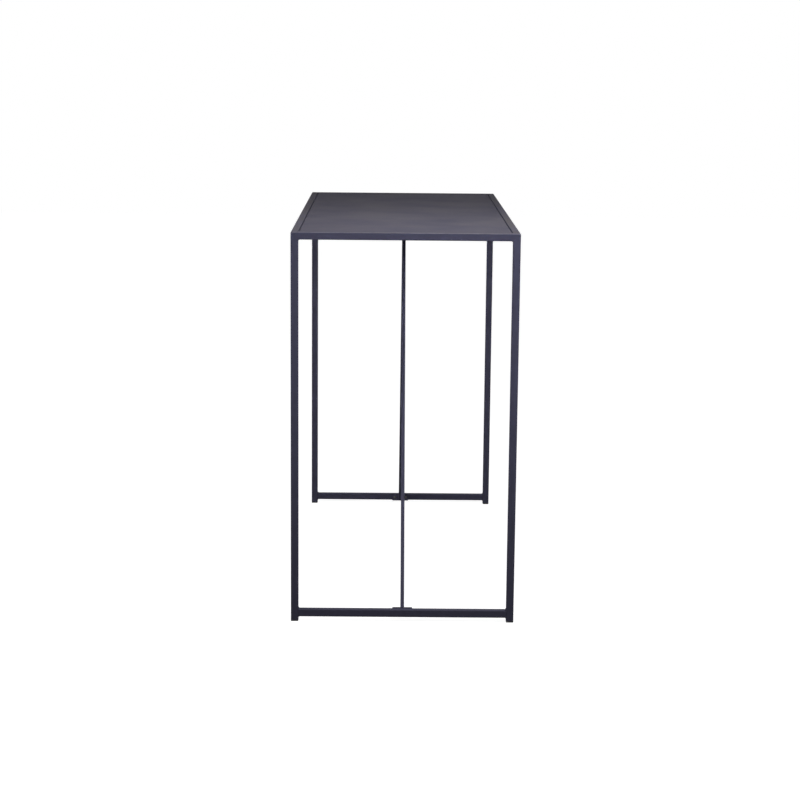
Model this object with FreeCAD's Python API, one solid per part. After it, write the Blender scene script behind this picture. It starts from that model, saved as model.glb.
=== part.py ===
import FreeCAD, Part
import math
import os

from FreeCAD import Vector

# Bar-height table in powder-coated steel. X runs along the length, Y across the width and Z up.
# The origin is on the floor, under the middle of the top. Front is +X, and left is -Y.

# Overall size
TABLE_LENGTH = 1400.0
TABLE_WIDTH = 600.0
TABLE_HEIGHT = 1050.0

# Square frame tube
TUBE_SIDE = 20.0
TUBE_WALL = 1.5
TUBE_CORNER = 2.0
MITRE_ROUND = 2.5

# Foot rails, and the plastic glides plugged into the legs
FOOT_RAIL_CLEARANCE = 13.0
GLIDE_HEIGHT = 4.0
GLIDE_CHAMFER = 1.2
GLIDE_STEM_LENGTH = 16.0
GLIDE_STEM_WALL = 2.0
GLIDE_FIN_COUNT = 3
GLIDE_FIN_THICKNESS = 1.2
GLIDE_FIN_DEPTH = 1.0
GLIDE_CLEARANCE = 0.15

# Fillet welds in the inner corners of the end frames
WELD_LEG = 4.5
WELD_THROAT = 2.4

# Top panel: a sheet pan with its edges folded down
PANEL_SHEET = 1.5
PANEL_LIP = 15.0
PANEL_BEND = 2.0
SIDE_SEAM = 1.6
NOTCH_CLEARANCE = 0.5

# Flat bearer tubes across the frame, under the panel
BEARER_WIDTH = 25.0
BEARER_HEIGHT = 13.0
BEARER_WALL = 1.5
BEARER_CORNER = 2.0

# Weld studs under the panel, and their flange nuts
STUD_DIAMETER = 5.0
STUD_INSET = 130.0
STUD_END = 0.5
STUD_CLEARANCE = 0.6
NUT_FLATS = 8.0
NUT_HEIGHT = 4.0
NUT_FLANGE_DIAMETER = 11.0
NUT_FLANGE_HEIGHT = 1.2

# Bolts and rivet nuts
BOLT_DIAMETER = 6.0
BOLT_HEAD_DIAMETER = 10.5
BOLT_HEAD_HEIGHT = 3.3
BOLT_RIM = 0.8
BOLT_SOCKET_FLATS = 4.0
BOLT_SOCKET_DEPTH = 2.0
BOLT_CLEARANCE = 0.6
THREAD_CLEARANCE = 0.2
BOLT_REACH = 8.0
FRAME_BOLT_INSET = 60.0
BRACE_BOLT_SPACING = 35.0
RIVET_BODY_DIAMETER = 8.8
RIVET_FLANGE_DIAMETER = 12.0
RIVET_FLANGE = 1.0
RIVET_BULB_DIAMETER = 11.5
RIVET_BULB_LENGTH = 3.0
RIVET_LENGTH = 9.5
RIVET_CLEARANCE = 0.2

# Brace: two square bars in an upside-down V, with bolted end plates
BRACE_BAR = 10.0
BRACE_BAR_CORNER = 0.6
BRACE_PLATE_THICKNESS = 3.0
FOOT_PLATE_WIDTH = 54.0
FOOT_PLATE_HEIGHT = 23.0
APEX_PLATE_WIDTH = 54.0
APEX_PLATE_LENGTH = 40.0
APEX_GAP = 4.5
PLATE_CORNER = 2.0

# Places that follow from the sizes above
HALF_LENGTH = TABLE_LENGTH / 2
HALF_WIDTH = TABLE_WIDTH / 2
LEG_X = HALF_LENGTH - TUBE_SIDE / 2
LEG_Y = HALF_WIDTH - TUBE_SIDE / 2
INNER_X = HALF_LENGTH - TUBE_SIDE
INNER_Y = HALF_WIDTH - TUBE_SIDE
RAIL_Z = TABLE_HEIGHT - TUBE_SIDE / 2
RAIL_UNDERSIDE = TABLE_HEIGHT - TUBE_SIDE
FOOT_RAIL_Z = FOOT_RAIL_CLEARANCE + TUBE_SIDE / 2
FOOT_RAIL_TOP = FOOT_RAIL_CLEARANCE + TUBE_SIDE
PANEL_X = INNER_X - RIVET_FLANGE
PANEL_Y = INNER_Y - SIDE_SEAM
PANEL_UNDERSIDE = TABLE_HEIGHT - PANEL_SHEET
BEARER_Z = PANEL_UNDERSIDE - BEARER_HEIGHT / 2
BEARER_UNDERSIDE = PANEL_UNDERSIDE - BEARER_HEIGHT
END_BEARER_FACE = PANEL_X - PANEL_SHEET - BEARER_WIDTH
END_BEARER_X = END_BEARER_FACE + BEARER_WIDTH / 2
CROSS_BEARER_X = END_BEARER_X / 2
APEX_Z = BEARER_UNDERSIDE - RIVET_FLANGE - BRACE_PLATE_THICKNESS
FOOT_PLATE_FACE = INNER_X - RIVET_FLANGE - BRACE_PLATE_THICKNESS
STUD_LENGTH = BEARER_HEIGHT + NUT_HEIGHT + STUD_END
FRAME_BOLT_LENGTH = BEARER_WIDTH + PANEL_SHEET + RIVET_FLANGE + BOLT_REACH
BRACE_BOLT_LENGTH = BRACE_PLATE_THICKNESS + RIVET_FLANGE + BOLT_REACH

BOLT_HOLE = BOLT_DIAMETER + BOLT_CLEARANCE
RIVET_HOLE = RIVET_BODY_DIAMETER + RIVET_CLEARANCE
STUD_HOLE = STUD_DIAMETER + STUD_CLEARANCE
FRAME_BOLT_Y = (FRAME_BOLT_INSET - INNER_Y, 0.0, INNER_Y - FRAME_BOLT_INSET)
BRACE_BOLT_Y = (-BRACE_BOLT_SPACING / 2, BRACE_BOLT_SPACING / 2)
STUD_Y = (STUD_INSET - INNER_Y, INNER_Y - STUD_INSET)

ENDS = {"front": 1, "rear": -1}
SIDES = {"left": -1, "right": 1}
BEARER_X = (-END_BEARER_X, -CROSS_BEARER_X, 0.0, CROSS_BEARER_X, END_BEARER_X)

ALONG_X = FreeCAD.Rotation(Vector(0, 1, 0), 90)
ALONG_Y = FreeCAD.Rotation(Vector(1, 0, 0), -90)
UP = FreeCAD.Rotation()


def placed(shape, base, rotation=UP):
    """The shape, turned and then moved to its place."""
    moved = shape.copy()
    moved.Placement = FreeCAD.Placement(base, rotation)
    return moved


def at_end(shape, end):
    """A front piece, or its mirror image at the rear."""
    return shape if end > 0 else shape.mirror(Vector(0, 0, 0), Vector(1, 0, 0))


def block(low, high):
    """A box between two opposite corners."""
    size = high - low
    return Part.makeBox(size.x, size.y, size.z, low)


def rounded_rectangle(width, depth, corner):
    """A face about the origin, width along X and depth along Y, with rounded corners."""
    half_w, half_d = width / 2, depth / 2
    if corner <= 0:
        points = [(-half_w, -half_d), (half_w, -half_d), (half_w, half_d), (-half_w, half_d)]
        corners = [Vector(x, y, 0) for x, y in points]
        return Part.Face(Part.makePolygon(corners + corners[:1]))
    edges = []
    for turn, (sx, sy) in enumerate([(1, 1), (-1, 1), (-1, -1), (1, -1)]):
        centre = Vector(sx * (half_w - corner), sy * (half_d - corner), 0)
        start = 90 * turn
        edges.append(Part.makeCircle(corner, centre, Vector(0, 0, 1), start, start + 90))
    sides = []
    for index, arc in enumerate(edges):
        following = edges[(index + 1) % len(edges)]
        sides.append(Part.makeLine(arc.Vertexes[-1].Point, following.Vertexes[0].Point))
    outline = [edge for pair in zip(edges, sides) for edge in pair]
    return Part.Face(Part.Wire(outline))


def tube(width, depth, wall, corner, length):
    """A hollow section that rises from the origin along Z."""
    outside = rounded_rectangle(width, depth, corner)
    inside = rounded_rectangle(width - 2 * wall, depth - 2 * wall, corner - wall)
    return outside.cut(inside).extrude(Vector(0, 0, length))


def frame_tube(length):
    return tube(TUBE_SIDE, TUBE_SIDE, TUBE_WALL, TUBE_CORNER, length)


def rod(diameter, length, base, direction):
    return Part.makeCylinder(diameter / 2, length, base, direction)


def revolved(profile):
    """A solid turned about Z from (radius, height) points."""
    points = [Vector(radius, 0, height) for radius, height in profile]
    face = Part.Face(Part.makePolygon(points + points[:1]))
    return face.revolve(Vector(0, 0, 0), Vector(0, 0, 1), 360)


def hexagon(flats, height, base):
    """A hexagonal prism that rises from its base along Z."""
    radius = flats / math.sqrt(3)
    corners = []
    for step in range(6):
        angle = math.radians(60 * step)
        corners.append(base + Vector(radius * math.cos(angle), radius * math.sin(angle), 0))
    return Part.Face(Part.makePolygon(corners + corners[:1])).extrude(Vector(0, 0, height))


def prism_along_x(points, x_low, x_high):
    """A prism along X whose section is a polygon of (y, z) points."""
    corners = [Vector(x_low, y, z) for y, z in points]
    return Part.Face(Part.makePolygon(corners + corners[:1])).extrude(Vector(x_high - x_low, 0, 0))


# End frames

def corner_rounding(side):
    """What is ground off the outer edge of a mitred top corner at the front end."""
    radius = MITRE_ROUND
    outer_y = side * HALF_WIDTH
    inner_y = outer_y - side * radius
    low = Vector(INNER_X, min(outer_y, inner_y), TABLE_HEIGHT - radius)
    high = Vector(HALF_LENGTH, max(outer_y, inner_y), TABLE_HEIGHT)
    round_edge = rod(2 * radius, TUBE_SIDE, Vector(INNER_X, inner_y, TABLE_HEIGHT - radius), Vector(1, 0, 0))
    return block(low, high).cut(round_edge)


def leg(side):
    """A front leg: mitred with the end rail at its top, open at the foot for its glide."""
    body = frame_tube(TABLE_HEIGHT - GLIDE_HEIGHT)
    body = placed(body, Vector(LEG_X, side * LEG_Y, GLIDE_HEIGHT))
    above_mitre = [
        (side * HALF_WIDTH, TABLE_HEIGHT),
        (side * INNER_Y, RAIL_UNDERSIDE),
        (side * INNER_Y, TABLE_HEIGHT),
    ]
    body = body.cut(prism_along_x(above_mitre, INNER_X, HALF_LENGTH))
    return body.cut(corner_rounding(side))


def end_rail():
    """The front end rail: mitred both ends, with holes for rivet nuts in its inner wall."""
    body = placed(frame_tube(TABLE_WIDTH), Vector(LEG_X, -HALF_WIDTH, RAIL_Z), ALONG_Y)
    for side in SIDES.values():
        below_mitre = [
            (side * HALF_WIDTH, TABLE_HEIGHT),
            (side * HALF_WIDTH, RAIL_UNDERSIDE),
            (side * INNER_Y, RAIL_UNDERSIDE),
        ]
        body = body.cut(prism_along_x(below_mitre, INNER_X, HALF_LENGTH))
        body = body.cut(corner_rounding(side))
    for y in FRAME_BOLT_Y:
        body = body.cut(rod(RIVET_HOLE, TUBE_SIDE / 2, Vector(INNER_X, y, BEARER_Z), Vector(1, 0, 0)))
    return body


def foot_rail():
    """The front foot rail, between the legs, with holes for the brace plate's rivet nuts."""
    body = placed(frame_tube(2 * INNER_Y), Vector(LEG_X, -INNER_Y, FOOT_RAIL_Z), ALONG_Y)
    for y in BRACE_BOLT_Y:
        body = body.cut(rod(RIVET_HOLE, TUBE_SIDE / 2, Vector(INNER_X, y, FOOT_RAIL_Z), Vector(1, 0, 0)))
    return body


def weld_bead(side, corner_z, up):
    """A concave bead in the corner of a leg and a rail; up is 1 above the rail and -1 below it."""
    root_y = side * INNER_Y
    toe_on_rail = Vector(0, root_y - side * WELD_LEG, corner_z)
    toe_on_leg = Vector(0, root_y, corner_z + up * WELD_LEG)
    reach = WELD_THROAT / math.sqrt(2)
    middle = Vector(0, root_y - side * reach, corner_z + up * reach)
    root = Vector(0, root_y, corner_z)
    outline = Part.Wire([
        Part.makeLine(root, toe_on_rail),
        Part.Arc(toe_on_rail, middle, toe_on_leg).toShape(),
        Part.makeLine(toe_on_leg, root),
    ])
    bead = Part.Face(outline).extrude(Vector(TUBE_SIDE - 2 * TUBE_CORNER, 0, 0))
    return placed(bead, Vector(INNER_X + TUBE_CORNER, 0, 0))


def end_frame_welds():
    """The beads of the front end frame: under the end rail, and above and below the foot rail."""
    beads = []
    for side in SIDES.values():
        beads.append(weld_bead(side, RAIL_UNDERSIDE, -1))
        beads.append(weld_bead(side, FOOT_RAIL_TOP, 1))
        beads.append(weld_bead(side, FOOT_RAIL_CLEARANCE, -1))
    return Part.makeCompound(beads)


def foot_cap(side):
    """A glide: a chamfered head under the leg, and a hollow finned stem inside it."""
    head = rounded_rectangle(TUBE_SIDE, TUBE_SIDE, TUBE_CORNER).extrude(Vector(0, 0, GLIDE_HEIGHT))
    bottom = [edge for edge in head.Edges if edge.BoundBox.ZMax < GLIDE_HEIGHT / 2]
    head = head.makeChamfer(GLIDE_CHAMFER, bottom)
    fin_side = TUBE_SIDE - 2 * TUBE_WALL - 2 * GLIDE_CLEARANCE
    core_side = fin_side - 2 * GLIDE_FIN_DEPTH
    fin_corner = TUBE_CORNER - TUBE_WALL
    stem = rounded_rectangle(core_side, core_side, 0).extrude(Vector(0, 0, GLIDE_STEM_LENGTH))
    fin = rounded_rectangle(fin_side, fin_side, fin_corner).extrude(Vector(0, 0, GLIDE_FIN_THICKNESS))
    pitch = GLIDE_STEM_LENGTH / GLIDE_FIN_COUNT
    fins = [placed(fin, Vector(0, 0, (step + 0.5) * pitch)) for step in range(GLIDE_FIN_COUNT)]
    hollow_side = core_side - 2 * GLIDE_STEM_WALL
    hollow = rounded_rectangle(hollow_side, hollow_side, 0).extrude(Vector(0, 0, GLIDE_STEM_LENGTH))
    stem = stem.multiFuse(fins).cut(hollow)
    cap = head.fuse(placed(stem, Vector(0, 0, GLIDE_HEIGHT)))
    return placed(cap.removeSplitter(), Vector(LEG_X, side * LEG_Y, 0))


# Top: side rails, bearers and the panel

def side_rail(side):
    return placed(frame_tube(2 * INNER_X), Vector(-INNER_X, side * LEG_Y, RAIL_Z), ALONG_X)


def bearer(x):
    """A flat tube between the side rails, with a clear hole for each panel stud."""
    body = tube(BEARER_WIDTH, BEARER_HEIGHT, BEARER_WALL, BEARER_CORNER, 2 * INNER_Y)
    body = placed(body, Vector(x, -INNER_Y, BEARER_Z), ALONG_Y)
    for y in STUD_Y:
        body = body.cut(rod(STUD_HOLE, BEARER_HEIGHT, Vector(x, y, BEARER_UNDERSIDE), Vector(0, 0, 1)))
    return body


def end_bearer():
    """The front end bearer, drilled for the bolts that hold the end frame."""
    body = bearer(END_BEARER_X)
    for y in FRAME_BOLT_Y:
        body = body.cut(rod(BOLT_HOLE, BEARER_WIDTH, Vector(END_BEARER_FACE, y, BEARER_Z), Vector(1, 0, 0)))
    return body


def centre_bearer():
    """The bearer that carries the brace, with holes for rivet nuts in its underside."""
    body = bearer(0)
    for y in BRACE_BOLT_Y:
        body = body.cut(rod(RIVET_HOLE, BEARER_HEIGHT / 2, Vector(0, y, BEARER_UNDERSIDE), Vector(0, 0, 1)))
    return body


def rounded_slab(half_x, half_y, low_z, high_z, radius):
    """A slab whose top and upright edges are rounded."""
    slab = block(Vector(-half_x, -half_y, low_z), Vector(half_x, half_y, high_z))
    if radius <= 0:
        return slab
    middle = (low_z + high_z) / 2
    return slab.makeFillet(radius, [edge for edge in slab.Edges if edge.BoundBox.ZMax > middle])


def top_panel():
    """A pan folded down along all four edges, notched where a bearer passes through its lip."""
    lip_z = TABLE_HEIGHT - PANEL_LIP
    outside = rounded_slab(PANEL_X, PANEL_Y, lip_z, TABLE_HEIGHT, PANEL_BEND)
    inner_x = PANEL_X - PANEL_SHEET
    inner_y = PANEL_Y - PANEL_SHEET
    inside = rounded_slab(inner_x, inner_y, lip_z, PANEL_UNDERSIDE, PANEL_BEND - PANEL_SHEET)
    pan = outside.cut(inside)
    for x in BEARER_X:
        low_x = max(x - BEARER_WIDTH / 2 - NOTCH_CLEARANCE, -inner_x)
        high_x = min(x + BEARER_WIDTH / 2 + NOTCH_CLEARANCE, inner_x)
        pan = pan.cut(block(Vector(low_x, -INNER_Y, lip_z), Vector(high_x, INNER_Y, PANEL_UNDERSIDE)))
    for y in FRAME_BOLT_Y:
        pan = pan.cut(rod(BOLT_HOLE, 2 * PANEL_X, Vector(-PANEL_X, y, BEARER_Z), Vector(1, 0, 0)))
    return pan


def panel_studs():
    studs = []
    for x in BEARER_X:
        for y in STUD_Y:
            base = Vector(x, y, PANEL_UNDERSIDE)
            studs.append(rod(STUD_DIAMETER, STUD_LENGTH, base, Vector(0, 0, -1)))
    return Part.makeCompound(studs)


def panel_nuts():
    """A flange nut under the bearer on each stud."""
    flange = Part.makeCylinder(NUT_FLANGE_DIAMETER / 2, NUT_FLANGE_HEIGHT)
    flange.translate(Vector(0, 0, NUT_HEIGHT - NUT_FLANGE_HEIGHT))
    nut = hexagon(NUT_FLATS, NUT_HEIGHT, Vector(0, 0, 0)).fuse(flange)
    nut = nut.cut(Part.makeCylinder((STUD_DIAMETER + THREAD_CLEARANCE) / 2, NUT_HEIGHT))
    nut_z = BEARER_UNDERSIDE - NUT_HEIGHT
    return Part.makeCompound([placed(nut, Vector(x, y, nut_z)) for x in BEARER_X for y in STUD_Y])


# Bolts and rivet nuts

def bolt(length):
    """A button-head socket screw: shank up from the origin along Z, domed head below it."""
    radius = BOLT_HEAD_DIAMETER / 2
    crown = BOLT_HEAD_HEIGHT - BOLT_RIM
    dome_radius = (crown ** 2 + radius ** 2) / (2 * crown)
    dome = Part.makeSphere(dome_radius, Vector(0, 0, dome_radius - BOLT_HEAD_HEIGHT))
    head = rod(BOLT_HEAD_DIAMETER, BOLT_HEAD_HEIGHT, Vector(0, 0, 0), Vector(0, 0, -1)).common(dome)
    head = head.cut(hexagon(BOLT_SOCKET_FLATS, BOLT_SOCKET_DEPTH, Vector(0, 0, -BOLT_HEAD_HEIGHT)))
    return head.fuse(Part.makeCylinder(BOLT_DIAMETER / 2, length))


def rivet_nut(wall):
    """A set rivet nut: flange below the origin, body up through a wall, bulb behind the wall."""
    bore = (BOLT_DIAMETER + THREAD_CLEARANCE) / 2
    flange = RIVET_FLANGE_DIAMETER / 2
    body = RIVET_BODY_DIAMETER / 2
    bulb = RIVET_BULB_DIAMETER / 2
    bulb_top = wall + RIVET_BULB_LENGTH
    return revolved([
        (bore, -RIVET_FLANGE),
        (flange, -RIVET_FLANGE),
        (flange, 0),
        (body, 0),
        (body, wall),
        (bulb, wall),
        (bulb, wall + RIVET_BULB_LENGTH / 2),
        (body, bulb_top),
        (body, RIVET_LENGTH),
        (bore, RIVET_LENGTH),
    ])


def both_ends(shapes):
    return Part.makeCompound([at_end(shape, end) for end in ENDS.values() for shape in shapes])


def frame_bolts():
    base = bolt(FRAME_BOLT_LENGTH)
    return both_ends([placed(base, Vector(END_BEARER_FACE, y, BEARER_Z), ALONG_X) for y in FRAME_BOLT_Y])


def end_rail_rivet_nuts():
    base = rivet_nut(TUBE_WALL)
    return both_ends([placed(base, Vector(INNER_X, y, BEARER_Z), ALONG_X) for y in FRAME_BOLT_Y])


def foot_rail_rivet_nuts():
    base = rivet_nut(TUBE_WALL)
    return both_ends([placed(base, Vector(INNER_X, y, FOOT_RAIL_Z), ALONG_X) for y in BRACE_BOLT_Y])


def bearer_rivet_nuts():
    base = rivet_nut(BEARER_WALL)
    return Part.makeCompound([placed(base, Vector(0, y, BEARER_UNDERSIDE)) for y in BRACE_BOLT_Y])


def brace_bolts():
    """Two bolts at each plate: into the foot rails at the ends, and up into the centre bearer."""
    base = bolt(BRACE_BOLT_LENGTH)
    at_feet = [placed(base, Vector(FOOT_PLATE_FACE, y, FOOT_RAIL_Z), ALONG_X) for y in BRACE_BOLT_Y]
    at_apex = [placed(base, Vector(0, y, APEX_Z)) for y in BRACE_BOLT_Y]
    return Part.makeCompound(both_ends(at_feet).Solids + at_apex)


# Brace

def brace_plate(width, depth):
    """A flat plate that rises from the origin, with a clear hole for each brace bolt along its depth."""
    plate = rounded_rectangle(width, depth, PLATE_CORNER).extrude(Vector(0, 0, BRACE_PLATE_THICKNESS))
    for y in BRACE_BOLT_Y:
        plate = plate.cut(rod(BOLT_HOLE, BRACE_PLATE_THICKNESS, Vector(0, y, 0), Vector(0, 0, 1)))
    return plate


def brace_foot_plate():
    plate = brace_plate(FOOT_PLATE_HEIGHT, FOOT_PLATE_WIDTH)
    return placed(plate, Vector(FOOT_PLATE_FACE, 0, FOOT_RAIL_Z), ALONG_X)


def brace_apex_plate():
    return placed(brace_plate(APEX_PLATE_LENGTH, APEX_PLATE_WIDTH), Vector(0, 0, APEX_Z))


def brace_strut():
    """The front strut, cut to sit flat on its foot plate and under the apex plate."""
    foot = Vector(FOOT_PLATE_FACE, 0, FOOT_RAIL_Z)
    span = FOOT_PLATE_FACE - APEX_GAP / 2
    rise = APEX_Z - FOOT_RAIL_Z
    lean = math.acos(BRACE_BAR / 2 / math.hypot(span, rise)) - math.atan2(rise, span)
    length = rise / math.cos(lean)
    spare = 4 * BRACE_BAR
    bar = rounded_rectangle(BRACE_BAR, BRACE_BAR, BRACE_BAR_CORNER)
    bar = bar.extrude(Vector(0, 0, length + 2 * spare))
    tilt = FreeCAD.Rotation(Vector(0, 1, 0), -math.degrees(lean))
    along = tilt.multVec(Vector(0, 0, 1))
    bar = placed(bar, foot - along * spare, tilt)
    room = block(Vector(0, -BRACE_BAR, 0), Vector(FOOT_PLATE_FACE, BRACE_BAR, APEX_Z))
    return bar.common(room)


def all_pieces():
    """Every piece by its name."""
    pieces = {}
    for end_name, end in ENDS.items():
        pieces["end_rail_" + end_name] = at_end(end_rail(), end)
        pieces["foot_rail_" + end_name] = at_end(foot_rail(), end)
        pieces["welds_" + end_name] = at_end(end_frame_welds(), end)
        pieces["end_bearer_" + end_name] = at_end(end_bearer(), end)
        pieces["cross_bearer_" + end_name] = at_end(bearer(CROSS_BEARER_X), end)
        pieces["brace_foot_plate_" + end_name] = at_end(brace_foot_plate(), end)
        pieces["brace_strut_" + end_name] = at_end(brace_strut(), end)
        for side_name, side in SIDES.items():
            pieces["leg_" + end_name + "_" + side_name] = at_end(leg(side), end)
            pieces["foot_cap_" + end_name + "_" + side_name] = at_end(foot_cap(side), end)
    for side_name, side in SIDES.items():
        pieces["side_rail_" + side_name] = side_rail(side)
    pieces["centre_bearer"] = centre_bearer()
    pieces["top_panel"] = top_panel()
    pieces["panel_studs"] = panel_studs()
    pieces["panel_nuts"] = panel_nuts()
    pieces["brace_apex_plate"] = brace_apex_plate()
    pieces["brace_bolts"] = brace_bolts()
    pieces["frame_bolts"] = frame_bolts()
    pieces["end_rail_rivet_nuts"] = end_rail_rivet_nuts()
    pieces["foot_rail_rivet_nuts"] = foot_rail_rivet_nuts()
    pieces["bearer_rivet_nuts"] = bearer_rivet_nuts()
    return pieces


os.makedirs("parts", exist_ok=True)
for node, shape in all_pieces().items():
    shape.exportStep("parts/" + node + ".step")
    print(node, len(shape.Solids), round(shape.Volume))
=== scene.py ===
# %% [markdown]
# # A bar-height table in powder-coated steel
#
# The table is two welded end frames of square tube, joined at the top by side rails and a folded
# sheet panel. Two thin bars under it lean against each other and stop it from swaying. All of
# that has a real size and place already: it comes in as a fixed frame of solid pieces.
#
# What is left for this lesson is what a solid model doesn't hold: the coat on the steel, the
# moulded plastic of the feet, the plating on the fasteners, the rippled weld beads, the sealant
# beside the panel, and a plain studio to see it all in.

# %% Load the frame
import math

import bmesh
import bpy
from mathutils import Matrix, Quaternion, Vector


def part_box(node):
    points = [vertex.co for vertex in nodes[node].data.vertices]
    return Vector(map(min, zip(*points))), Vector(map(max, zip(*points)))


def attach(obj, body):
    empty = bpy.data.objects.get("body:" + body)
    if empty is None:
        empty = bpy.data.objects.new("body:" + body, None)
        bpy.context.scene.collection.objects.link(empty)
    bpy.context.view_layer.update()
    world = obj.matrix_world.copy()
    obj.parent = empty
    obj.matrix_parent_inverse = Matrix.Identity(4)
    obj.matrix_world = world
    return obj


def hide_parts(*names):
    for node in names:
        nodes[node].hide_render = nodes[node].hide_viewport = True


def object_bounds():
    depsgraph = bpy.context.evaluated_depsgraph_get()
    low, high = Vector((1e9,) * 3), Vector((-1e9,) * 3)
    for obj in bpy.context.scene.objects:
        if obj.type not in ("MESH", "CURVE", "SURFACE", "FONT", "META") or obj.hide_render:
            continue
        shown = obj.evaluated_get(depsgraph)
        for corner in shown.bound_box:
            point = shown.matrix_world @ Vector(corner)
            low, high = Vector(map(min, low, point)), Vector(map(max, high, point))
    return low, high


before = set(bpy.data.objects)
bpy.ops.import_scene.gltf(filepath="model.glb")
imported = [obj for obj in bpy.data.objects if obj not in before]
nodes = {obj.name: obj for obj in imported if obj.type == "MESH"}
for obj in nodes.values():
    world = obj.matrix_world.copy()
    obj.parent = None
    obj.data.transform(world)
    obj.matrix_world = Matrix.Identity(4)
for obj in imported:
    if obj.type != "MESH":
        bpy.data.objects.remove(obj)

cad_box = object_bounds()
print("pieces in the frame:", len(nodes))
print("size in metres:", [round(side, 3) for side in cad_box[1] - cad_box[0]])

# %% [markdown]
# ## The camera
#
# A product photograph like this is taken from well back with a long lens, so that upright legs
# stay nearly parallel. The camera could be placed by eye, but its place was worked out instead,
# by fitting a pinhole camera to the edges of the legs and rails. It stands almost in line with
# the table, a little above the top, and leans over by half a degree.

# %% Camera
CAMERA_PLACE = Vector((5.7577, -0.0391, 1.5284))
CAMERA_DOWN = math.radians(10.311)
CAMERA_ASIDE = math.radians(0.3166)
CAMERA_ROLL = math.radians(0.5169)
LENS = 87.606
SENSOR = 36.0


def long_lens_camera():
    data = bpy.data.cameras.new("product_camera")
    data.lens = LENS
    data.sensor_width = SENSOR
    camera = bpy.data.objects.new("product_camera", data)
    level = math.cos(CAMERA_DOWN)
    ahead = Vector((
        -level * math.cos(CAMERA_ASIDE),
        level * math.sin(CAMERA_ASIDE),
        -math.sin(CAMERA_DOWN),
    ))
    camera.location = CAMERA_PLACE
    camera.rotation_mode = "QUATERNION"
    roll = Quaternion((0, 0, 1), CAMERA_ROLL)
    camera.rotation_quaternion = ahead.to_track_quat("-Z", "Y") @ roll
    bpy.context.scene.collection.objects.link(camera)
    bpy.context.scene.camera = camera
    return camera


camera = long_lens_camera()
bpy.context.scene.view_settings.view_transform = "Standard"
print("camera:", [round(value, 3) for value in camera.location], "lens", LENS, "mm")

# %% [markdown]
# ## Nodes by name
#
# Every finish below is a small graph of shader nodes. Such a graph can be drawn by hand in the
# shader editor, but written down it can be read, repeated and changed in one place. Writing it is
# mostly placing a node, setting a few of its sockets and linking the rest. One helper does all
# three: a value goes on the socket, and an output of another node is linked to it. Two more wrap
# the nodes that are needed most, for arithmetic and for moving a value from one range to another.

# %% Node helpers
def put(tree, kind, sockets=None, **settings):
    """A new node: settings are its own properties, sockets its inputs by name or number."""
    node = tree.nodes.new(kind)
    for name, value in settings.items():
        setattr(node, name, value)
    for name, value in (sockets or {}).items():
        if isinstance(value, bpy.types.NodeSocket):
            tree.links.new(value, node.inputs[name])
        else:
            node.inputs[name].default_value = value
    return node


def math_node(tree, operation, first, second=0.0):
    return put(tree, "ShaderNodeMath", {0: first, 1: second}, operation=operation).outputs[0]


def remap(tree, value, old=(0.0, 1.0), new=(0.0, 1.0)):
    """A value moved from the range old to the range new, and kept inside it."""
    return put(tree, "ShaderNodeMapRange", {
        "Value": value,
        "From Min": old[0],
        "From Max": old[1],
        "To Min": new[0],
        "To Max": new[1],
    }).outputs["Result"]


def new_material(name):
    """A material with nothing in it yet, and its tree."""
    material = bpy.data.materials.new(name)
    material.use_nodes = True
    material.node_tree.nodes.clear()
    return material, material.node_tree


print("node helpers ready")

# %% [markdown]
# ## The studio
#
# The table stands on plain white paper. Paper bright enough to be pure white would throw a lot
# of light up under the top, which the dark brace there shows isn't so. So the floor has two
# faces: what is looked at, straight or in a reflection, is white and takes the table's shadow,
# and what only bounces light about is a dark grey. From below it is clear, so that the
# underside can be looked at too. The world does the same: white to look at, dim as a lamp.

# %% Seen or stray light
WHITE = (1.0, 1.0, 1.0, 1.0)


def grey(level):
    return (level, level, level, 1.0)


def looked_at(tree):
    """1 for rays that show a surface, straight, mirrored or through glass, and 0 for stray light."""
    path = put(tree, "ShaderNodeLightPath").outputs
    seen = math_node(tree, "MAXIMUM", path["Is Camera Ray"], path["Is Glossy Ray"])
    return math_node(tree, "MAXIMUM", seen, path["Is Transmission Ray"])


def mix_shaders(tree, share, first, second):
    """The first shader where share is 0, and the second where it is 1."""
    return put(tree, "ShaderNodeMixShader", {0: share, 1: first.outputs[0], 2: second.outputs[0]})


print("studio helpers ready")

# %% Floor
FLOOR_HALF = 12.0
FLOOR_SHADE_REACH = 3.0
FLOOR_SEEN = 0.45
FLOOR_BOUNCE = 0.12
FLOOR_GLOW_NEAR = 0.90
FLOOR_GLOW_FAR = 1.0


def white_paper():
    material, tree = new_material("white_paper")
    place = put(tree, "ShaderNodeTexCoord").outputs["Object"]
    distance = put(tree, "ShaderNodeVectorMath", {0: place}, operation="LENGTH").outputs["Value"]
    glow = remap(tree, distance, old=(0.0, FLOOR_SHADE_REACH), new=(FLOOR_GLOW_NEAR, FLOOR_GLOW_FAR))
    paper = put(tree, "ShaderNodeBsdfDiffuse", {"Color": grey(FLOOR_SEEN)})
    light = put(tree, "ShaderNodeEmission", {"Color": WHITE, "Strength": glow})
    seen = put(tree, "ShaderNodeAddShader", {0: paper.outputs[0], 1: light.outputs[0]})
    bounce = put(tree, "ShaderNodeBsdfDiffuse", {"Color": grey(FLOOR_BOUNCE)})
    above = mix_shaders(tree, looked_at(tree), bounce, seen)
    below = put(tree, "ShaderNodeBsdfTransparent")
    side = put(tree, "ShaderNodeNewGeometry").outputs["Backfacing"]
    both = mix_shaders(tree, side, above, below)
    put(tree, "ShaderNodeOutputMaterial", {"Surface": both.outputs[0]})
    return material


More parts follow.
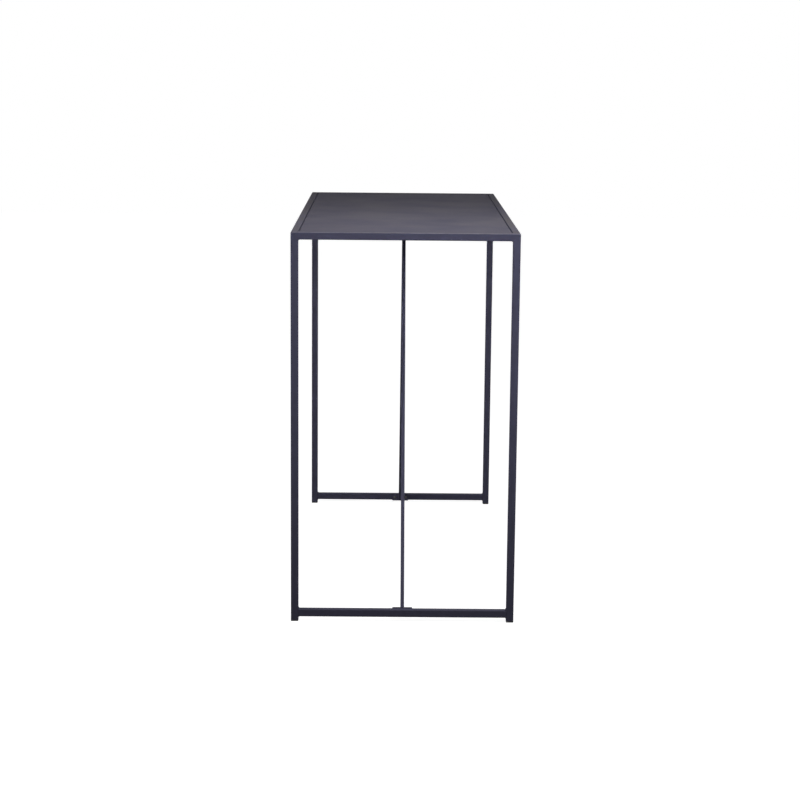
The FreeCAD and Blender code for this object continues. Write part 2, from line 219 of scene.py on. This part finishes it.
def paper_floor():
    mesh = bpy.data.meshes.new("floor")
    reach = FLOOR_HALF
    corners = [(-reach, -reach, 0), (reach, -reach, 0), (reach, reach, 0), (-reach, reach, 0)]
    mesh.from_pydata(corners, [], [(0, 1, 2, 3)])
    mesh.materials.append(white_paper())
    floor = bpy.data.objects.new("floor", mesh)
    bpy.context.scene.collection.objects.link(floor)


paper_floor()
print("floor:", 2 * FLOOR_HALF, "m wide")

# %% World
ROOM_LIGHT = (0.90, 0.95, 1.0, 1.0)
ROOM_STRENGTH = 0.01


def white_room():
    world = bpy.data.worlds.new("white_room")
    bpy.context.scene.world = world
    world.use_nodes = True
    tree = world.node_tree
    tree.nodes.clear()
    lamp = put(tree, "ShaderNodeBackground", {"Color": ROOM_LIGHT, "Strength": ROOM_STRENGTH})
    white = put(tree, "ShaderNodeBackground", {"Color": WHITE, "Strength": 1.0})
    both = mix_shaders(tree, looked_at(tree), lamp, white)
    put(tree, "ShaderNodeOutputWorld", {"Surface": both.outputs[0]})


white_room()
print("world: white to look at,", ROOM_STRENGTH, "as a lamp")

# %% [markdown]
# ## Softboxes
#
# In the photograph the top is brightest at the near end, the legs darken towards the floor, and
# the brace is lit up to where the top shades it. That shadow tells where the main light is: high
# in front of the table, at about sixty degrees. A small softbox over the near end adds to the top
# alone, and larger ones at the front corners and the left side reach in under the top to the far
# legs. One sun-like lamp could not do that, because it lights every leg the same from end to end.
#
# The narrow ones in front have a grid, which keeps their light to a part of the table. Two of them
# are a little cooler than the rest and reach the rail and the upper legs. The two low ones have
# the finest grid: their beams pass outside the near legs and end on the far legs, just under the
# top. The last one stands behind, lower than the top, and only matters when the table is looked at
# from the back. It has a wide grid, because open it would burn a bright patch on the paper before it,
# and dark edges look thinner in front of such a patch.

# %% Lights
OPEN = 180
WIDE_GRID = 60
GRID = 35
FINE_GRID = 9
PLAIN = (1.0, 1.0, 1.0)
COOL = (0.94, 1.0, 1.2)
SOFTBOXES = {
    "key_softbox": [(1.8, 0.3, 2.55), (1.8, 0.3, 0.0), 0.8, OPEN, PLAIN, 16],
    "overhead_softbox": [(0.55, 0.1, 1.8), (0.55, 0.1, 0.0), 0.6, OPEN, PLAIN, 4.4],
    "right_softbox": [(2.0, 1.8, 2.0), (0.0, 0.0, 0.7), 1.0, OPEN, PLAIN, 16],
    "left_softbox": [(2.0, -1.8, 2.0), (0.0, 0.0, 0.7), 1.0, OPEN, PLAIN, 4.3],
    "side_softbox": [(0.6, -3.0, 1.6), (0.0, 0.0, 0.6), 1.2, OPEN, PLAIN, 44],
    "left_grid": [(3.4, -1.5, 1.5), (0.2, 0.0, 0.95), 0.6, GRID, COOL, 0.36],
    "right_grid": [(3.4, 1.5, 1.5), (0.2, 0.0, 0.95), 0.6, GRID, COOL, 0.90],
    "low_left_grid": [(3.0, -1.0, 0.35), (-0.7, -0.29, 0.86), 0.2, FINE_GRID, PLAIN, 0.088],
    "low_right_grid": [(3.0, 1.0, 0.35), (-0.7, 0.29, 0.86), 0.2, FINE_GRID, PLAIN, 0.040],
    "back_softbox": [(-3.2, 0.4, 0.7), (0.0, 0.0, 0.6), 0.9, WIDE_GRID, PLAIN, 3.2],
}


def softbox(name, place, aim, side, spread, tint, power):
    """A square lamp: side is its width, spread the angle in degrees that its light is kept to."""
    data = bpy.data.lights.new(name, "AREA")
    data.shape = "SQUARE"
    data.size = side
    data.spread = math.radians(spread)
    data.color = tint
    data.energy = power
    lamp = bpy.data.objects.new(name, data)
    lamp.location = place
    lamp.rotation_mode = "QUATERNION"
    lamp.rotation_quaternion = (Vector(aim) - Vector(place)).to_track_quat("-Z", "Y")
    lamp.visible_camera = False
    bpy.context.scene.collection.objects.link(lamp)
    print(name, power, "W")


for name, values in SOFTBOXES.items():
    softbox(name, *values)

# %% [markdown]
# ## What the finishes share
#
# Powder coat is plastic dust that was melted onto the steel. It flows a little before it sets, so
# its surface has two scales: a fine tooth that makes it matt, and a slow swell like the skin of
# an orange. Seen from a step away, the sheen also drifts over a hand's width. All three are
# noise, only of different size. Every finish could have its own copy of those nodes, but a node
# group is built once, and a finish that places it only says how large each noise is. Noise goes
# from 0 to 1, but most of it stays near the middle, so it is stretched where it is to show.

# %% Group helpers
MOST_NOISE = (0.3, 0.7)


def new_group(name, inputs, outputs):
    """An empty shader node group with float inputs and outputs, and what its inputs are given."""
    group = bpy.data.node_groups.new(name, "ShaderNodeTree")
    for label, value in inputs.items():
        socket = group.interface.new_socket(label, in_out="INPUT", socket_type="NodeSocketFloat")
        socket.default_value = value
    for label in outputs:
        group.interface.new_socket(label, in_out="OUTPUT", socket_type="NodeSocketFloat")
    return group, put(group, "NodeGroupInput").outputs


def noise(tree, place, size, detail):
    """Noise in clumps about as wide as size, in metres."""
    scale = math_node(tree, "DIVIDE", 1.0, size)
    sockets = {"Vector": place, "Scale": scale, "Detail": detail}
    return put(tree, "ShaderNodeTexNoise", sockets).outputs["Fac"]


print("group helpers ready")

# %% Group: coat texture
TOOTH_HEIGHT = 0.5


def coat_texture_group():
    inputs = {"Tooth Size": 0.0004, "Peel Size": 0.003, "Drift Size": 0.12}
    group, given = new_group("coat_texture", inputs, ["Height", "Tooth", "Drift"])
    place = put(group, "ShaderNodeTexCoord").outputs["Object"]
    tooth = noise(group, place, given["Tooth Size"], detail=2.0)
    peel = noise(group, place, given["Peel Size"], detail=1.0)
    drift = noise(group, place, given["Drift Size"], detail=3.0)
    height = math_node(group, "ADD", math_node(group, "MULTIPLY", tooth, TOOTH_HEIGHT), peel)
    put(group, "NodeGroupOutput", {"Height": height, "Tooth": tooth, "Drift": drift})
    return group


coat_texture = coat_texture_group()
print("group:", coat_texture.name)

# %% [markdown]
# Melted powder also pulls back from sharp edges, so the coat is thinner and a little paler there.
# On the coats that paler edge is also a painted highlight, for the light that edges catch.
# An edge could be painted by hand, but the bevel node finds it: it averages the normals nearby,
# and where that average turns away from the surface's own normal, there is an edge.

# %% Group: edge wear and painted highlight
EDGE_TURN = (0.02, 0.25)


# The edge mask carries edge wear, and on the coats a painted highlight too.
def edge_wear_and_highlight_group():
    inputs = {"Edge Width": 0.0012, "Patch Size": 0.01}
    group, given = new_group("edge_wear_and_highlight", inputs, ["Edge"])
    around = put(group, "ShaderNodeBevel", {"Radius": given["Edge Width"]}, samples=4)
    flat = put(group, "ShaderNodeNewGeometry").outputs["Normal"]
    same = put(group, "ShaderNodeVectorMath", {0: around.outputs[0], 1: flat}, operation="DOT_PRODUCT")
    turned = math_node(group, "SUBTRACT", 1.0, same.outputs["Value"])
    edge = remap(group, turned, old=EDGE_TURN)
    place = put(group, "ShaderNodeTexCoord").outputs["Object"]
    patches = noise(group, place, given["Patch Size"], detail=2.0)
    put(group, "NodeGroupOutput", {"Edge": math_node(group, "MULTIPLY", edge, patches)})
    return group


edge_wear_and_highlight = edge_wear_and_highlight_group()
print("group:", edge_wear_and_highlight.name)

# %% [markdown]
# Another shared effect is a faint film where the table faces up: partly the dust and wipe marks
# that any table gets, partly painted sheen, paler patches that stand for light on the top. Painting
# it on would need an unwrapped mesh, but three measures tell where it lies, direction, patches and
# height: the more a surface looks up, the more it gathers, never evenly, and mostly at the top,
# where hands and glasses go.

# %% Group: film and painted sheen on top
LOOKING_UP = (0.75, 1.0)
FILM_CLOUDS = (0.32, 0.68)


# The film mask carries dust and, on the coats, painted sheen where surfaces face up.
def film_and_sheen_group():
    inputs = {"Patch Size": 0.09, "Thinnest": 0.0, "Starts At": 0.5, "Full At": 1.0}
    group, given = new_group("film_and_painted_sheen", inputs, ["Film And Sheen"])
    normal = put(group, "ShaderNodeNewGeometry").outputs["Normal"]
    up = put(group, "ShaderNodeSeparateXYZ", {0: normal}).outputs["Z"]
    facing = remap(group, up, old=LOOKING_UP)
    place = put(group, "ShaderNodeTexCoord").outputs["Object"]
    patches = noise(group, place, given["Patch Size"], detail=5.0)
    spread = remap(group, patches, old=FILM_CLOUDS, new=(given["Thinnest"], 1.0))
    height = put(group, "ShaderNodeSeparateXYZ", {0: place}).outputs["Z"]
    used = remap(group, height, old=(given["Starts At"], given["Full At"]))
    film_and_sheen = math_node(group, "MULTIPLY", facing, spread)
    put(group, "NodeGroupOutput", {"Film And Sheen": math_node(group, "MULTIPLY", film_and_sheen, used)})
    return group


film_and_painted_sheen = film_and_sheen_group()
print("group:", film_and_painted_sheen.name)

# %% [markdown]
# A thin pale line, a painted highlight, runs along the rim of the top, between its upper face and
# the rail's front, where the rounded edge catches the light. The bevel node misses that edge,
# because the tubes have rounded corners. But the rim's place is known: it is where the table's
# upper plane and its outer planes are both close, and the highlight is broken into patches.

# %% Group: painted rim highlight
RIM_HIGHLIGHT_BREAKUP = (0.5, 1.0)


# The rim mask places a painted highlight along the top's rim.
def rim_highlight_group():
    inputs = {
        "Half Length": cad_box[1].x,
        "Half Width": cad_box[1].y,
        "Height": cad_box[1].z,
        "Rim Width": 0.0026,
        "Patch Size": 0.02,
    }
    group, given = new_group("painted_rim_highlight", inputs, ["Rim Highlight"])
    place = put(group, "ShaderNodeTexCoord").outputs["Object"]
    axes = put(group, "ShaderNodeSeparateXYZ", {0: place}).outputs
    to_end = math_node(group, "SUBTRACT", given["Half Length"], math_node(group, "ABSOLUTE", axes["X"]))
    to_side = math_node(group, "SUBTRACT", given["Half Width"], math_node(group, "ABSOLUTE", axes["Y"]))
    to_top = math_node(group, "SUBTRACT", given["Height"], axes["Z"])
    away = math_node(group, "MAXIMUM", math_node(group, "MINIMUM", to_end, to_side), to_top)
    rim_highlight = remap(group, away, old=(0.0, given["Rim Width"]), new=(1.0, 0.0))
    patches = noise(group, place, given["Patch Size"], detail=2.0)
    broken = remap(group, patches, old=MOST_NOISE, new=RIM_HIGHLIGHT_BREAKUP)
    put(group, "NodeGroupOutput", {"Rim Highlight": math_node(group, "MULTIPLY", rim_highlight, broken)})
    return group


painted_rim_highlight = rim_highlight_group()
print("group:", painted_rim_highlight.name)

# %% [markdown]
# Between the panel and the side rails runs a narrow seam, and painted shade on both of its lips
# makes it darker than the gap alone would look. Its place is known
# as well, half way between the panel's side and the rail, so the painted shade can fade with the
# distance from there. The seam also ends where the end rails begin, and the height keeps the
# painted shade off the legs, whose inner faces lie in the same plane.

# %% Where the seams are
rail_low, rail_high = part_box("side_rail_left")
rail_side = min(abs(rail_low.y), abs(rail_high.y))
seam_at = (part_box("top_panel")[1].y + rail_side) / 2
seam_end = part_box("top_panel")[1].x
print("seams at", round(seam_at, 4), "m on both sides, up to", round(seam_end, 4), "m from the middle")


# %% Group: painted seam shade
SEAM_SHADE_RANGE = (0.6, 1.0)


# The seam mask places painted shade along both lips of the side seams.
def seam_shade_group():
    inputs = {
        "Seam At": seam_at,
        "Ends At": seam_end,
        "Height": cad_box[1].z,
        "Reach": 0.0032,
        "Patch Size": 0.03,
    }
    group, given = new_group("seam_painted_shade", inputs, ["Seam Shade"])
    place = put(group, "ShaderNodeTexCoord").outputs["Object"]
    axes = put(group, "ShaderNodeSeparateXYZ", {0: place}).outputs
    aside = math_node(group, "SUBTRACT", math_node(group, "ABSOLUTE", axes["Y"]), given["Seam At"])
    to_seam = math_node(group, "ABSOLUTE", aside)
    beyond = math_node(group, "SUBTRACT", math_node(group, "ABSOLUTE", axes["X"]), given["Ends At"])
    to_top = math_node(group, "SUBTRACT", given["Height"], axes["Z"])
    away = math_node(group, "MAXIMUM", math_node(group, "MAXIMUM", to_seam, to_top), beyond)
    close = remap(group, away, old=(0.0, given["Reach"]), new=(1.0, 0.0))
    patches = noise(group, place, given["Patch Size"], detail=3.0)
    uneven = remap(group, patches, old=MOST_NOISE, new=SEAM_SHADE_RANGE)
    put(group, "NodeGroupOutput", {"Seam Shade": math_node(group, "MULTIPLY", close, uneven)})
    return group


seam_painted_shade = seam_shade_group()
print("group:", seam_painted_shade.name)

# %% [markdown]
# ## Powder coat
#
# The steel is coated in a matt blue-black. A plain dark colour would look like a hole in the
# picture, so the coat's colour drifts a little between two tones and gets paler on thin edges,
# where a painted highlight adds to the thinner coat. A painted highlight runs along the rim, the
# film on top is partly dust and partly painted sheen, and painted shade darkens the lips of the
# seams. The coat on the panel is the same powder on a flat sheet, where it lies smoother, and the
# brace bars get a paler copy of the coat, painted sheen for the light on their slanted faces. So
# the three coats only differ in their values.

# %% Material helpers
def put_group(tree, group, sockets):
    """A group placed in a material with its own values, and what it puts out."""
    return put(tree, "ShaderNodeGroup", sockets, node_tree=group).outputs


def blend(tree, amount, first, second):
    """A colour between two: each is a colour or a socket, and amount is a socket."""
    return put(tree, "ShaderNodeMix", {0: amount, 6: first, 7: second}, data_type="RGBA").outputs[2]


def bumped(tree, height, strength, depth):
    """The normal of a surface with bumps, where a height of 1 is depth metres."""
    sockets = {"Strength": strength, "Distance": depth, "Height": height}
    return put(tree, "ShaderNodeBump", sockets).outputs[0]


def finish_material(tree, sockets):
    """A Principled shader with these sockets, linked to the material's output."""
    shader = put(tree, "ShaderNodeBsdfPrincipled", sockets)
    put(tree, "ShaderNodeOutputMaterial", {"Surface": shader.outputs[0]})


print("material helpers ready")

# %% Powder coat graph
# The edge tone is partly thinner coat and partly a painted highlight on edges.
EDGE_WEAR_AND_HIGHLIGHT_TONE = (0.13, 0.125, 0.15, 1.0)
EDGE_WEAR_AND_HIGHLIGHT_SHARE = 0.5
GRAIN_TONE = (0.125, 0.122, 0.165, 1.0)
GRAIN_SHARE = 0.30
# The rim tone is a painted highlight along the top's rim.
RIM_HIGHLIGHT_TONE = (0.24, 0.225, 0.255, 1.0)
# The seam tone is painted shade beside the side seams.
SEAM_SHADE_TONE = (0.012, 0.011, 0.014, 1.0)
COAT_SHINE = 0.045
GRAIN_TOOTH = (0.35, 0.70)
ROUGH_DRIFT = (0.25, 0.75)


def powder_coat(name, deep, pale, rough, film_and_sheen_tone, film_and_sheen_share, film_and_sheen_thinnest, peel_height):
    """Deep and pale are the tones that the coat drifts between, rough its range of roughness."""
    material, tree = new_material(name)
    sizes = {"Tooth Size": 0.0005, "Peel Size": 0.0035, "Drift Size": 0.14}
    texture = put_group(tree, coat_texture, sizes)
    edges = put_group(tree, edge_wear_and_highlight, {"Edge Width": 0.0012, "Patch Size": 0.012})
    film_and_sheen = put_group(tree, film_and_painted_sheen, {"Patch Size": 0.18, "Thinnest": film_and_sheen_thinnest})
    rim_highlight = put_group(tree, painted_rim_highlight, {"Rim Width": 0.0026, "Patch Size": 0.02})
    seam_shade = put_group(tree, seam_painted_shade, {"Reach": 0.0032, "Patch Size": 0.03})
    drift = remap(tree, texture["Drift"], old=MOST_NOISE)
    grain = remap(tree, texture["Tooth"], old=GRAIN_TOOTH, new=(0.0, GRAIN_SHARE))
    edge_wear_and_highlight_share = math_node(tree, "MULTIPLY", edges["Edge"], EDGE_WEAR_AND_HIGHLIGHT_SHARE)
    film_and_sheen_cover = math_node(tree, "MULTIPLY", film_and_sheen["Film And Sheen"], film_and_sheen_share)
    colour = blend(tree, drift, deep, pale)
    colour = blend(tree, grain, colour, GRAIN_TONE)
    # Edges get paler: partly thinner coat, partly a painted highlight.
    colour = blend(tree, edge_wear_and_highlight_share, colour, EDGE_WEAR_AND_HIGHLIGHT_TONE)
    # The film is partly dust and partly painted sheen on surfaces that face up.
    colour = blend(tree, film_and_sheen_cover, colour, film_and_sheen_tone)
    # A painted highlight along the rim of the top.
    colour = blend(tree, rim_highlight["Rim Highlight"], colour, RIM_HIGHLIGHT_TONE)
    # Painted shade on both lips of the side seams.
    colour = blend(tree, seam_shade["Seam Shade"], colour, SEAM_SHADE_TONE)
    finish_material(tree, {
        "Base Color": colour,
        "Roughness": remap(tree, texture["Drift"], old=ROUGH_DRIFT, new=rough),
        "Specular IOR Level": COAT_SHINE,
        "Normal": bumped(tree, texture["Height"], strength=0.8, depth=peel_height),
    })
    print("finish:", name)
    return material


print("powder coat graph ready")

# %% The three coats
# The film tones are partly dust and partly painted sheen, most of all on the panel.
ON_TUBE = {
    "rough": (0.82, 0.89),
    "film_and_sheen_tone": (0.108, 0.097, 0.088, 1.0),
    "film_and_sheen_share": 0.70,
    "film_and_sheen_thinnest": 0.4,
    "peel_height": 0.00013,
}
ON_SHEET = {
    "rough": (0.81, 0.89),
    "film_and_sheen_tone": (0.112, 0.105, 0.124, 1.0),
    "film_and_sheen_share": 0.80,
    "film_and_sheen_thinnest": 0.0,
    "peel_height": 0.00010,
}
frame_coat = powder_coat(
    "blue_black_frame_coat",
    deep=(0.080, 0.077, 0.121, 1.0),
    pale=(0.089, 0.086, 0.134, 1.0),
    **ON_TUBE,
)
# A paler copy of the frame coat: painted sheen for the light on the slanted brace bars.
brace_sheen_coat = powder_coat(
    "blue_black_brace_sheen_coat",
    deep=(0.094, 0.090, 0.141, 1.0),
    pale=(0.104, 0.101, 0.157, 1.0),
    **ON_TUBE,
)
panel_coat = powder_coat(
    "blue_black_panel_coat",
    deep=(0.067, 0.063, 0.087, 1.0),
    pale=(0.075, 0.071, 0.098, 1.0),
    **ON_SHEET,
)

# %% [markdown]
# ## Glides, bolts and plated steel
#
# The feet are black moulded plastic: finer grained than the coat, not metal, and scuffed along
# their edges. The bolts are steel with a black skin, and what sits inside the tubes and
# under the panel is zinc plated. Each metal could have a graph of its own, but both share one:
# plating grows in small patches that differ in tone and in how they shine.

# %% Moulded plastic
PLASTIC_SHINE = 0.35
PLASTIC_ROUGH = (0.45, 0.62)


def moulded_plastic(name, colour, scuff):
    material, tree = new_material(name)
    sizes = {"Tooth Size": 0.0003, "Peel Size": 0.0016, "Drift Size": 0.02}
    texture = put_group(tree, coat_texture, sizes)
    edges = put_group(tree, edge_wear_and_highlight, {"Edge Width": 0.0008, "Patch Size": 0.004})
    finish_material(tree, {
        "Base Color": blend(tree, edges["Edge"], colour, scuff),
        "Roughness": remap(tree, texture["Drift"], new=PLASTIC_ROUGH),
        "Specular IOR Level": PLASTIC_SHINE,
        "Normal": bumped(tree, texture["Height"], strength=0.5, depth=0.00004),
    })
    print("finish:", name)
    return material


glide_plastic = moulded_plastic(
    "black_glide_plastic",
    colour=(0.018, 0.018, 0.020, 1.0),
    scuff=(0.07, 0.07, 0.07, 1.0),
)

# %% Plated steel
def plated_steel(name, dark, bright, rough):
    material, tree = new_material(name)
    sizes = {"Tooth Size": 0.0002, "Peel Size": 0.0012, "Drift Size": 0.006}
    texture = put_group(tree, coat_texture, sizes)
    finish_material(tree, {
        "Base Color": blend(tree, texture["Drift"], dark, bright),
        "Roughness": remap(tree, texture["Drift"], new=rough),
        "Metallic": 1.0,
        "Normal": bumped(tree, texture["Height"], strength=0.4, depth=0.00002),
    })
    print("finish:", name)
    return material


black_bolt = plated_steel(
    "black_oxide_steel",
    dark=(0.035, 0.035, 0.040, 1.0),
    bright=(0.07, 0.07, 0.075, 1.0),
    rough=(0.38, 0.52),
)
zinc_steel = plated_steel(
    "zinc_plated_steel",
    dark=(0.33, 0.34, 0.35, 1.0),
    bright=(0.46, 0.47, 0.47, 1.0),
    rough=(0.34, 0.50),
)

# %% [markdown]
# Each solid came in with the name of its finish as its material, so handing the finishes out is
# a matter of looking that name up. A list of all the pieces would do the same, but it would have
# to be kept up to date. Only the brace bars then get the paler copy of the coat, whose painted
# sheen stands for the light on their slanted faces.

# %% Hand out the finishes
finishes = {
    "powder_coat_frame": frame_coat,
    "powder_coat_panel": panel_coat,
    "glide_plastic": glide_plastic,
    "black_bolt": black_bolt,
    "zinc_steel": zinc_steel,
}
for node in nodes.values():
    for slot in node.material_slots:
        slot.material = finishes[slot.material.name]
# The brace bars get the paler copy, painted sheen for the light on their slanted faces.
for name in ("brace_strut_front", "brace_strut_rear"):
    nodes[name].material_slots[0].material = brace_sheen_coat
print("finished pieces:", len(nodes))

# %% [markdown]
# ## Weld beads
#
# Where tubes meet, the frame is welded, and the beads show as rounded inner corners. A smooth
# fillet would do from far off, but a real bead is a row of overlapping puddles. Each bead here
# is swept along its corner. Its section is a quarter superellipse, whose power sets how full it
# is: under 1 it is hollow, and over 1 it bulges. Its size swells once for each puddle, and lags
# in the middle of the bead, which bends the puddles into crescents.

# %% Bead shape
ARC_POINTS = 10
STEPS_PER_RIPPLE = 6
FEWEST_RIPPLES = 3
RIPPLE_PITCH = 0.0017
RIPPLE_DEPTH = 0.07
RIPPLE_LAG = 0.45
END_TAPER = 0.28
TAPER_POWER = 8
ROOT_SINK = 0.0001


def puddle(phase):
    """Half circles in a row, from 0 to 1: the outline of overlapping puddles."""
    return math.sqrt(1 - (2 * (phase % 1) - 1) ** 2)


def bead_rings(start, end, wall_a, wall_b, leg, fullness):
    """A bead in the corner line from start to end: wall_a and wall_b lead away along its two walls."""
    ripples = max(FEWEST_RIPPLES, round((end - start).length / RIPPLE_PITCH))
    steps = ripples * STEPS_PER_RIPPLE
    rings = []
    for step in range(steps + 1):
        share = step / steps
        corner = start.lerp(end, share)
        taper = 1 - END_TAPER * (2 * share - 1) ** TAPER_POWER
        ring = [corner - (wall_a + wall_b) * ROOT_SINK]
        for number in range(ARC_POINTS + 1):
            angle = math.pi / 2 * number / ARC_POINTS
            lag = RIPPLE_LAG * math.sin(2 * angle)
            swell = 1 + RIPPLE_DEPTH * (puddle(share * ripples - lag) - 1)
            along_a = max(math.cos(angle), 0.0) ** (2 / fullness)
            along_b = max(math.sin(angle), 0.0) ** (2 / fullness)
            ring.append(corner + (wall_a * along_a + wall_b * along_b) * leg * taper * swell)
        rings.append(ring)
    return rings


print("a puddle every", RIPPLE_PITCH, "m along a bead")

# %% Swept pieces
SHARP_ANGLE = math.radians(50)


def swept_object(name, sweeps):
    """One object of several closed shells, each swept through its rings."""
    shells = bmesh.new()
    for rings in sweeps:
        loops = [[shells.verts.new(point) for point in ring] for ring in rings]
        for low, high in zip(loops, loops[1:]):
            for number, vertex in enumerate(low):
                following = (number + 1) % len(low)
                shells.faces.new((vertex, low[following], high[following], high[number]))
        shells.faces.new(loops[0][::-1])
        shells.faces.new(loops[-1])
    bmesh.ops.recalc_face_normals(shells, faces=shells.faces)
    mesh = bpy.data.meshes.new(name)
    shells.to_mesh(mesh)
    shells.free()
    mesh.shade_smooth()
    mesh.set_sharp_from_angle(angle=SHARP_ANGLE)
    piece = bpy.data.objects.new(name, mesh)
    bpy.context.scene.collection.objects.link(piece)
    print(name, len(sweeps), "beads,", len(mesh.polygons), "faces")
    return piece


def coated_weld(name, sweeps):
    """Beads that were coated together with the frame they hold."""
    piece = swept_object(name, sweeps)
    piece.data.materials.append(frame_coat)
    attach(piece, "root")
    return piece


print("edges over", round(math.degrees(SHARP_ANGLE)), "degrees stay sharp")

# %% [markdown]
# The end frames have a bead in each inner corner, under the end rail and on both sides of the
# foot rail. Their places could be typed in, but the boxes of the rails give them, so that the
# beads follow if the frame changes. They lie exactly where the plain solid beads of the frame
# are, and stand for them.

# %% End frame beads
END_FRAME_LEG = 0.0045
HOLLOW = 0.71
UP = Vector((0, 0, 1))
SIDES = (-1, 1)


def end_frame_beads(end):
    low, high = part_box("welds_" + end)
    end_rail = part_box("end_rail_" + end)
    foot_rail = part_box("foot_rail_" + end)
    corners = [(end_rail[0].z, -UP), (foot_rail[1].z, UP), (foot_rail[0].z, -UP)]
    sweeps = []
    for side in SIDES:
        inner_y = side * foot_rail[1].y
        inward = Vector((0, -side, 0))
        for height, away in corners:
            start = Vector((low.x, inner_y, height))
            finish = Vector((high.x, inner_y, height))
            sweeps.append(bead_rings(start, finish, inward, away, END_FRAME_LEG, HOLLOW))
    return sweeps


for end in ("front", "rear"):
    beads = coated_weld("weld_beads_" + end, end_frame_beads(end))
    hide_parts("welds_" + end)

# %% [markdown]
# Under the top, each bearer is welded to the side rails along its lower edge. A weld all round
# would also hold, but its heat pulls thin tube out of line, so one bead at each end is usual. The
# rail's wall curves away just below, so these beads are small.

# %% Bearer beads
BEARER_LEG = 0.0023
BEARER_CORNER = 0.002
FULL = 1.15
BEARERS = [name for name in sorted(nodes) if "bearer" in name and "nut" not in name]


def bearer_beads():
    sweeps = []
    for name in BEARERS:
        low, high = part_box(name)
        for side in SIDES:
            start = Vector((low.x + BEARER_CORNER, side * high.y, low.z))
            finish = Vector((high.x - BEARER_CORNER, side * high.y, low.z))
            sweeps.append(bead_rings(start, finish, Vector((0, -side, 0)), -UP, BEARER_LEG, FULL))
    return sweeps


coated_weld("bearer_weld_beads", bearer_beads())

# %% [markdown]
# The brace bars are cut at a slant and welded to their plates along both flanks. The slant could
# be worked out from the bar's length and rise, but the cut faces themselves tell where they are:
# they are the points of each bar that lie in its plate's plane.

# %% Brace beads
BRACE_LEG = 0.003
IN_PLANE = 0.00005


def cut_face(name, axis, level):
    """Lowest and highest corner of a bar's end that lies in a plane across X (0) or Z (2)."""
    points = [v.co for v in nodes[name].data.vertices if abs(v.co[axis] - level) < IN_PLANE]
    low = Vector([min(p[i] for p in points) for i in range(3)])
    high = Vector([max(p[i] for p in points) for i in range(3)])
    return low, high


def brace_beads(end, sign):
    name = "brace_strut_" + end
    box_low, box_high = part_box(name)
    foot = cut_face(name, 0, box_high.x if sign > 0 else box_low.x)
    apex = cut_face(name, 2, box_high.z)
    upward = ((apex[0] + apex[1]) / 2 - (foot[0] + foot[1]) / 2).normalized()
    sweeps = []
    for low, high, along_bar in ((*foot, upward), (*apex, -upward)):
        for side in SIDES:
            flank = side * high.y
            start = Vector((low.x, flank, low.z))
            finish = Vector((high.x, flank, high.z))
            sweeps.append(bead_rings(start, finish, Vector((0, side, 0)), along_bar, BRACE_LEG, FULL))
    return sweeps


coated_weld("brace_weld_beads", brace_beads("front", 1) + brace_beads("rear", -1))

# %% [markdown]
# ## Sealant in the side seams
#
# Seen from above, the pale floor would shine up through the seams beside the panel. A sheet top
# in a tube frame has a bead of black sealant there, a few millimetres down, which keeps the rain
# out and the sheet from rattling. A fingertip drawn along it leaves its face slightly hollow. It
# runs from bearer to bearer, because each bearer closes the seam where it passes. A flat strip
# would also do, but the hollow face costs only a few points more in each section.

# %% Sealant
SEALANT_DEEP = 0.004
SEALANT_HEIGHT = 0.005
SEALANT_HOLLOW = 0.0005
SEALANT_GRIP = 0.00005
SEALANT_POINTS = 6


def sealant_ring(x, side, inner, outer, top):
    """A section of the bead, from the panel's lip at inner to the rail at outer."""
    ring = []
    for number in range(SEALANT_POINTS + 1):
        share = number / SEALANT_POINTS
        sag = SEALANT_HOLLOW * (1 - (2 * share - 1) ** 2)
        ring.append(Vector((x, side * (inner + share * (outer - inner)), top - sag)))
    ring.append(Vector((x, side * outer, top - SEALANT_HEIGHT)))
    ring.append(Vector((x, side * inner, top - SEALANT_HEIGHT)))
    return ring


def sealant_beads():
    top = cad_box[1].z - SEALANT_DEEP
    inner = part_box("top_panel")[1].y - SEALANT_GRIP
    outer = rail_side + SEALANT_GRIP
    bearers = sorted((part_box(name) for name in BEARERS), key=lambda box: box[0].x)
    sweeps = []
    for side in SIDES:
        for before, after in zip(bearers, bearers[1:]):
            ends = (before[1].x, after[0].x)
            sweeps.append([sealant_ring(x, side, inner, outer, top) for x in ends])
    return sweeps


black_sealant = moulded_plastic(
    "black_sealant",
    colour=(0.014, 0.014, 0.015, 1.0),
    scuff=(0.03, 0.03, 0.032, 1.0),
)
sealant = swept_object("seam_sealant", sealant_beads())
sealant.data.materials.append(black_sealant)
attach(sealant, "root")
print("sealant lies", SEALANT_DEEP, "m below the top")
